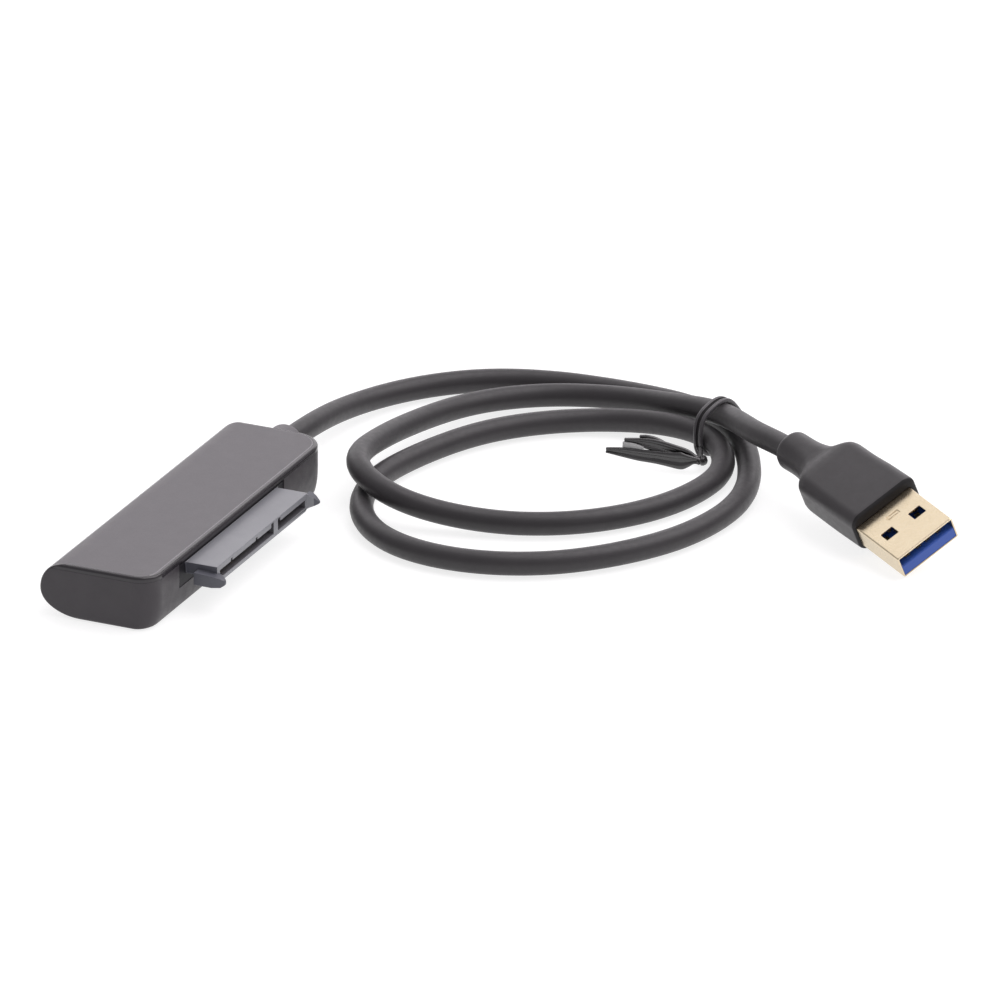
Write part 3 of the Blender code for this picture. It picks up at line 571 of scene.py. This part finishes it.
def make_receptacle():
    near, far = SATA_Y - SATA_HALF, SATA_Y + SATA_HALF
    bottom, top = 4.95, 8.19
    section = [(near + 0.0, top), (near, 6.3), (near + 0.35, 5.9), (near + 3.2, bottom), (far - 1.1, bottom)]
    section += [(far - 1.1 + 1.1 * math.sin(t), bottom + 1.1 * (1 - math.cos(t))) for t in np.linspace(math.pi / 10, math.pi / 2, 5)]
    section += [(far, top)]
    body = add("receptacle", slab("receptacle", section, HALF - 1.0, FRONT), [sata_mat, panel_shade_mat, side_shade_mat, throat_shade_mat], replaces=("sata_housing",), smooth=0)
    ears = [
        [(12.9, near - 1.65, near + 1.0, 4.9, 7.2), (FRONT - 0.4, near - 1.6, near + 1.0, 4.85, 7.0), (FRONT + 1.1, near - 1.2, near + 0.4, 4.95, 6.6), (FRONT + 1.7, near - 0.95, near - 0.1, 5.35, 6.25), (FRONT + 1.87, near - 0.8, near - 0.3, 5.6, 6.0)],
        [(13.35, far - 1.0, far + 1.5, 5.1, 6.6), (FRONT - 0.9, far - 1.0, far + 1.5, 5.2, 6.6), (FRONT - 0.35, far - 0.7, far + 1.5, 5.3, 7.95), (FRONT + 0.3, far - 0.4, far + 1.45, 5.5, 7.85), (FRONT + 1.1, far + 0.1, far + 1.3, 5.8, 7.35), (FRONT + 1.87, far + 0.5, far + 1.1, 6.2, 6.6)],
    ]
    tools = [(boxy("flange", (HALF - 6, SATA_Y - 20.5, 4.33), (HALF - 0.08, SATA_Y + 20.5, 8.45)), "UNION")]
    for stops in ears:
        tools.append((lofted("ear", [[(x, a, c), (x, b, c), (x, b, d), (x, a, d)] for x, a, b, c, d in stops]), "UNION"))
    power, signal = (SATA_Y - 16.9, SATA_Y + 4.4), (SATA_Y + 6.1, SATA_Y + 17.0)
    low, high = 5.75, 7.15
    cut = [(power[0], high), (power[0] + 0.25, low + 0.55), (power[0] + 1.4, low), (power[1], low), (power[1], high)]
    tools.append((slab("slot", cut, HALF - 7, FRONT + 1), "DIFFERENCE"))
    tools.append((boxy("slot", (HALF - 7, signal[0], low), (FRONT + 1, signal[1], high)), "DIFFERENCE"))
    tools.append((boxy("key", (HALF - 0.2, power[1] - 0.95, high - 0.2), (FRONT + 1, power[1], high + 0.7)), "DIFFERENCE"))
    tools.append((boxy("key", (HALF - 0.2, signal[0], high - 0.2), (FRONT + 1, signal[0] + 0.95, high + 0.7)), "DIFFERENCE"))
    for y in (SATA_Y - 12.2, SATA_Y - 2.4):
        tools.append((boxy("nick", (HALF + 1.0, y - 0.3, high - 0.2), (FRONT + 1, y + 0.3, high + 0.5)), "DIFFERENCE"))
    carve(body, tools)
    # painted shade: the panel round the nose is painted darker than the nose, and the throat of each slot is painted
    # darker for the dark inside it
    for face in body.data.polygons:
        c = (CASE.inverted() @ face.center) / MM
        inside = low - 0.01 < c.z < high + 0.75 and (power[0] - 0.01 < c.y < power[1] + 0.01 or signal[0] - 0.01 < c.y < signal[1] + 0.01)
        if inside and c.x < FRONT - 0.05 and abs(face.normal.x) < 0.5:
            face.material_index = 3
        elif c.x < HALF - 0.04:
            face.material_index = 1
        # the ears and the nose's near side take the painted-shade copy
        elif c.y < near - 0.02 or c.y > far + 0.02 or (c.y < near + 0.3 and face.normal.y < -0.5):
            face.material_index = 2
    body.data.shade_smooth()
    body.data.set_sharp_from_angle(angle=math.radians(30))
    soften(body, 0.11, 3, 30)


make_receptacle()


# ------------------------------------------------------------------ the plug
def make_plug():
    stops = [
        (-12.8, 0.4, 0.2, 7.05, 4.15, 2.2), (-18.0, 0.2, 0.15, 7.02, 4.2, 2.3), (-23.0, -0.02, 0.1, 6.85, 4.22, 2.35), (-26.6, -0.08, 0.08, 6.8, 4.24, 2.4),
        (-28.0, -0.1, 0.06, 6.62, 4.16, 2.5), (-28.9, -0.12, 0.04, 6.15, 4.0, 2.7), (-29.7, -0.15, 0.0, 5.4, 3.82, 3.0), (-30.6, -0.2, 0.0, 4.65, 3.62, 3.2),
        (-32.0, -0.25, 0.0, 4.05, 3.5, 3.35), (-34.0, -0.35, -0.08, 3.6, 3.48, 3.3), (-36.5, -0.48, -0.22, 3.42, 3.58, 3.3), (-38.5, -0.58, -0.36, 3.4, 3.66, 3.3),
    ]
    xs = [-s[0] for s in stops]
    at = np.linspace(xs[0], xs[-1], 90)
    columns = [pchip(xs, [s[k] for s in stops], at) for k in range(1, 6)]
    rings, per = [], 14

    def ring(x, shift, lift, a, b, r):
        rings.append([(x, shift + u, lift + v) for u, v in rounded_rect(a, b, min(r, a - 0.01, b - 0.01), per)])

    # the mouth the shell comes out of, then the rounded front edge, the grip, the waist and the rear lip
    ring(-15.6, 0, 0, 6.14, 2.3, 0.36)
    ring(-12.05, 0, 0, 6.17, 2.34, 0.4)
    ring(-12.0, 0, 0, 6.22, 2.4, 0.45)
    for t in np.linspace(0, math.pi / 2, 12):
        k = 0.8 * math.sin(t)
        ring(-12.0 - 0.8 * (1 - math.cos(t)), 0.4 * (0.4 + 0.6 * math.sin(t)), 0.2, 6.25 + k, 3.35 + k, 1.4 + k)
    for x, shift, lift, a, b, r in zip(at[1:], *[c[1:] for c in columns]):
        ring(-x, shift, lift, a, b, r)
    for t in np.linspace(0.15, 1.0, 8):
        k = t * math.pi / 2
        o = 0.5 * (1 - math.cos(k))
        ring(-38.5 - 0.9 * math.sin(k), -0.58 - 0.04 * t, -0.36 - 0.06 * t, 3.4 - o, 3.66 - o, 3.3 - o)
    ring(-39.5, -0.62, -0.7, 2.35, 2.4, 2.3)
    ring(-39.1, -0.62, -0.95, 2.2, 2.2, 2.18)
    # a stub of jacket closes the view between grip and cable
    ring(-39.12, -0.62, -0.99, 2.09, 2.09, 2.08)
    rings.append([(-39.83 - 0.013 * u - 0.196 * v, -0.62 + u, -0.996 + v) for u, v in rounded_rect(2.08, 2.08, 2.07, per)])
    # the first eleven steps, the mouth and the rounded front edge, are in painted shade
    bands = [1] * 11 + [0] * (len(rings) - 13) + [2]
    add("plug_grip", lofted("plug_grip", rings, bands=bands, cap_mats=(1, 2)), [grip_mat, painted_shade_mat, cable_mat], PLUG, ("usb_overmold",), 35)

    w, h, s = 6.1, 2.25, 0.3
    rings = []
    for x, o in ((-15.9, 0.0), (-8.0, 0.0), (-0.4, 0.0), (-0.1, 0.0), (-0.03, -0.03), (0.0, -0.1)):
        rings.append([(x, u, v) for u, v in rounded_rect(w + o, h + o, 0.34 + o, 8, 0.2)])
    for x, o in ((0.0, 0.08), (-0.04, 0.02), (-0.1, 0.0), (-0.4, 0.0), (-8.0, 0.0), (-15.9, 0.0)):
        rings.append([(x, u, v) for u, v in rounded_rect(w - s + o, h - s + o, 0.14 + o, 8, 0.2)])
    shell = add("plug_shell", lofted("plug_shell", rings, closed_path=True), [shell_mat], PLUG, ("usb_shell",), 0)
    tools = []
    for y in (-3.1, 3.1):
        for sign in (-1, 1):
            tools.append((lofted("latch", [[(-6.2 + u, y + v, z) for u, v in rounded_rect(1.02, 1.26, 0.12, 3)] for z in (sign * 1.2, sign * 4.0)][::1]), "DIFFERENCE"))
    tools.append((lofted("dent", [[(-9.2 + u, v, z) for u, v in rounded_rect(0.48, 1.3, 0.12, 3)] for z in (h - 0.16, h + 1.0)]), "DIFFERENCE"))
    tools.append((lofted("bar", [[(-9.2 + u, v, z) for u, v in rounded_rect(0.2, 1.08, 0.08, 3)] for z in (h - 0.22, h - 0.02)]), "UNION"))
    tools.append((boxy("fold", (-12.5, -0.06, -h - 0.5), (0.5, 0.06, -h + 0.12)), "DIFFERENCE"))
    carve(shell, tools, PLUG)
    shell.data.shade_smooth()
    shell.data.set_sharp_from_angle(angle=math.radians(30))
    soften(shell, 0.06, 2, 50)

    tongue = [(-0.08, -1.93), (-0.08, -0.05), (-0.18, 0.1), (-0.4, 0.2), (-9.6, 0.2), (-9.6, 1.7), (-15.6, 1.7), (-15.6, -1.93)]
    bed = add("plug_tongue", lofted("plug_tongue", [[(x, y, z) for x, z in tongue] for y in (-5.78, 5.78)]), [blue_mat], PLUG, ("usb_insulator",), 0)
    tools = [(boxy("bed", (-8.0, y - 0.55, 0.1), (-1.1, y + 0.55, 1.0)), "DIFFERENCE") for y in (-3.5, -1.0, 1.0, 3.5)]
    tools += [(boxy("bed", (-9.4, y - 0.45, 0.05), (-8.2, y + 0.45, 1.0)), "DIFFERENCE") for y in (-4.0, -2.0, 0.0, 2.0, 4.0)]
    carve(bed, tools, PLUG)
    bed.data.shade_smooth()
    bed.data.set_sharp_from_angle(angle=math.radians(30))
    soften(bed, 0.05, 2, 50)


make_plug()


# ------------------------------------------------------------------ the twist tie
TIE_POINT = Vector((66.33, 79.2, 0.0))
TIE_NORMAL = Vector((0.937, -0.35, 0.0)).normalized()
TIE_SLACK = [(-3.2, 6.1), (-1.6, 6.85)]


def ribbon_section(wide, thick, count=56):
    """Two wires side by side with a web between them: (out, along) pairs."""
    points = []
    r = thick / 2
    centre = wide / 2 - r
    for k in range(count):
        a = 2 * math.pi * k / count
        u, v = math.sin(a), math.cos(a)
        along = v * wide / 2
        hump = math.sqrt(max(r * r - (abs(along) - centre) ** 2, 0.0)) if abs(along) > centre - r else 0.0
        out = max(hump, 0.2 * r) * (1 if u >= 0 else -1)
        if abs(v) > 0.999:
            out = 0.0
        points.append((out, along))
    return points


def hull_path(centres, radius, count):
    cloud = np.array([(c[0] + radius * math.cos(a), c[1] + radius * math.sin(a)) for c in centres for a in np.linspace(0, 2 * math.pi, 180, endpoint=False)])
    cloud = cloud[np.lexsort((cloud[:, 1], cloud[:, 0]))]

    def chain(points):
        kept = []
        for p in points:
            while len(kept) > 1 and (kept[-1][0] - kept[-2][0]) * (p[1] - kept[-2][1]) - (kept[-1][1] - kept[-2][1]) * (p[0] - kept[-2][0]) <= 0:
                kept.pop()
            kept.append(tuple(p))
        return kept[:-1]

    hull = np.array(chain(cloud) + chain(cloud[::-1]))
    around = np.vstack([hull, hull[:1]])
    run = np.concatenate([[0.0], np.cumsum(np.linalg.norm(np.diff(around, axis=0), axis=1))])
    at = np.linspace(0, run[-1], count, endpoint=False)
    return np.column_stack([np.interp(at, run, around[:, 0]), np.interp(at, run, around[:, 1])])


def swept(name, spine, section, flats, scales=None):
    """A section carried along a spine of points; flats are the directions of its width."""
    rings = []
    for k, spot in enumerate(spine):
        ahead = (spine[min(k + 1, len(spine) - 1)] - spine[max(k - 1, 0)]).normalized()
        flat = (flats[k] - ahead * flats[k].dot(ahead)).normalized()
        up = ahead.cross(flat).normalized()
        sw, st = scales[k] if scales else (1.0, 1.0)
        rings.append([tuple(spot + flat * along * sw + up * out * st) for out, along in section])
    return lofted(name, rings)


def make_tie():
    fine = cable_path
    across = Vector((-TIE_NORMAL.y, TIE_NORMAL.x, 0.0))
    side = (fine - np.array(TIE_POINT)) @ np.array(TIE_NORMAL)
    strands = []
    for i in np.where(np.abs(side) < 1.2)[0]:
        if (Vector(fine[i]) - TIE_POINT).length < 14:
            strands.append(((Vector(fine[i]) - TIE_POINT).dot(across), fine[i][2]))
    strands += TIE_SLACK
    path = hull_path(strands, CABLE_DIAMETER / 2 + 0.66, 150)
    for _ in range(40):
        path = (np.roll(path, 1, 0) + 2 * path + np.roll(path, -1, 0)) / 4
    section = ribbon_section(2.1, 0.8)
    rings = []
    for k, (h, z) in enumerate(path):
        nh, nz = path[(k + 1) % len(path)]
        ph, pz = path[k - 1]
        out = Vector((nz - pz, -(nh - ph))).normalized()
        lift = max(z, 0.45)
        rings.append([tuple(TIE_POINT + across * (h + out.x * u) + TIE_NORMAL * v + Vector((0, 0, lift + out.y * u))) for u, v in section])
    band = lofted("tie_band", rings, closed_path=True)
    # the band's ridges take the lighter painted-highlight copy of the tie plastic
    ring = add("tie_band", band, [ridge_lit_mat, painted_shade_mat], replaces=("twist_tie",), smooth=50)
    # the crease between the two wires of the band takes the painted-shade copy
    for face in ring.data.polygons:
        spot = (CASE.inverted() @ face.center) / MM
        if abs((spot - TIE_POINT).dot(TIE_NORMAL)) < 0.36:
            face.material_index = 1

    # the strap down to the knot, the knot, and the two flat ends that stand off it
    standing = Vector((-0.23, 0.97, 0.0)).normalized()

    def end_piece(name, stops, thick=0.75, turns=0.0, steps=70, mats=(tie_mat,)):
        knots, _ = natural_spline([s[:3] for s in stops], steps)
        spine = [Vector(p) for p in knots]
        run = np.concatenate([[0.0], np.cumsum([(Vector(b[:3]) - Vector(a[:3])).length for a, b in zip(stops[:-1], stops[1:])])])
        halves = pchip(run / run[-1], [s[3] for s in stops], np.linspace(0, 1, steps))
        flats, scales = [], []
        for k in range(steps):
            ahead = (spine[min(k + 1, steps - 1)] - spine[max(k - 1, 0)]).normalized()
            base = ahead.cross(standing).normalized()
            angle = turns * 2 * math.pi * k / (steps - 1)
            flats.append(base * math.cos(angle) + ahead.cross(base) * math.sin(angle))
            scales.append((halves[k], 1.0))
        return add(name, swept(name, spine, ribbon_section(2.0, thick), flats, scales), list(mats), smooth=50)

    end_piece("tie_foot", [(63.75, 74.95, 3.1, 0.95), (64.3, 73.7, 2.4, 0.9), (65.3, 72.3, 1.65, 0.8), (66.1, 71.2, 1.35, 0.7)], turns=0.12)
    end_piece("tie_knot", [(66.2, 71.5, 1.5, 0.6), (66.6, 70.6, 1.35, 0.75), (66.7, 69.6, 1.6, 0.7), (66.0, 68.7, 2.05, 0.6)], thick=1.15, turns=1.2)
    end_piece("tie_tail_low", [(66.6, 68.8, 2.0, 0.57), (65.74, 68.4, 2.15, 0.7), (64.7, 68.15, 2.0, 1.15), (63.49, 67.86, 1.85, 1.62), (61.58, 67.39, 1.96, 1.42), (58.98, 66.76, 2.22, 1.23), (56.38, 66.13, 2.39, 1.13), (53.78, 65.5, 2.66, 0.94), (50.5, 64.7, 2.9, 0.5)])
    end_piece("tie_tail_high", [(66.2, 69.1, 2.2, 0.5), (65.56, 69.0, 2.4, 0.57), (64.35, 68.75, 2.85, 0.94), (62.61, 68.3, 3.28, 1.13), (60.36, 67.7, 3.85, 1.2), (58.11, 67.1, 4.35, 1.1), (55.51, 66.4, 4.6, 0.8), (53.5, 65.85, 4.75, 0.5)])
    end_piece("tie_tail_fold", [(60.4, 68.0, 4.1, 0.7), (58.9, 67.7, 4.75, 0.8), (57.2, 67.35, 5.2, 0.7), (55.9, 67.1, 5.3, 0.45)], steps=30)
    end_piece("tie_tail_cut", [(57.0, 66.2, 3.5, 0.5), (55.2, 65.95, 3.75, 0.75), (53.3, 65.5, 3.9, 0.78)], thick=0.5, steps=24, mats=(web_mat,))


make_tie()


# ------------------------------------------------------------------ floor, world and lights
def make_floor():
    mesh = bpy.data.meshes.new("floor")
    mesh.from_pydata([(-4, -4, 0), (4, -4, 0), (4, 4, 0), (-4, 4, 0)], [], [(0, 1, 2, 3)])
    s = Shader("mat_floor", (0.3, 0.3, 0.3), 0.8)
    s.bsdf.inputs["Emission Color"].default_value = (1.0, 1.0, 1.0, 1.0)
    s.bsdf.inputs["Emission Strength"].default_value = 0.78
    s.feed("Base Color", s.ramp(s.noise(40.0, 2.0), [(0.3, (0.295, 0.295, 0.295)), (0.7, (0.305, 0.305, 0.305))]))
    mesh.materials.append(s.mat)
    floor = bpy.data.objects.new("floor", mesh)
    scene.collection.objects.link(floor)
    floor.location = (0, 0, -0.0002)


def area(name, spot, aim, size, energy, colour=(1, 1, 1)):
    data = bpy.data.lights.new(name, "AREA")
    data.shape = "RECTANGLE"
    data.size, data.size_y = size
    data.energy = energy
    data.color = colour
    obj = bpy.data.objects.new(name, data)
    scene.collection.objects.link(obj)
    obj.location = spot
    obj.rotation_euler = (Vector(aim) - Vector(spot)).to_track_quat("-Z", "Y").to_euler()
    obj.visible_camera = False
    return obj


def make_light():
    world = bpy.data.worlds.new("studio")
    scene.world = world
    world.use_nodes = True
    world.node_tree.nodes["Background"].inputs["Color"].default_value = (1.0, 0.975, 1.0, 1.0)
    world.node_tree.nodes["Background"].inputs["Strength"].default_value = 0.42
    middle = (0.04, 0.03, 0.0)
    area("key_above", (0.45, 0.4, 1.15), middle, (1.4, 1.4), 15.5, (1.0, 0.965, 0.99))
    area("left_above", (-0.78, 0.4, 1.05), middle, (0.9, 0.9), 1.85)
    area("back_wall", (-0.7, 1.6, 0.62), middle, (2.4, 1.0), 9.5, (1.0, 0.97, 1.0))
    area("fill_right", (1.3, -0.7, 0.7), middle, (0.5, 0.5), 0.5)


make_floor()
make_light()
scene.view_settings.view_transform = "Standard"
scene.view_settings.look = "None"
scene.view_settings.exposure = 0.0
scene.view_settings.gamma = 1.0
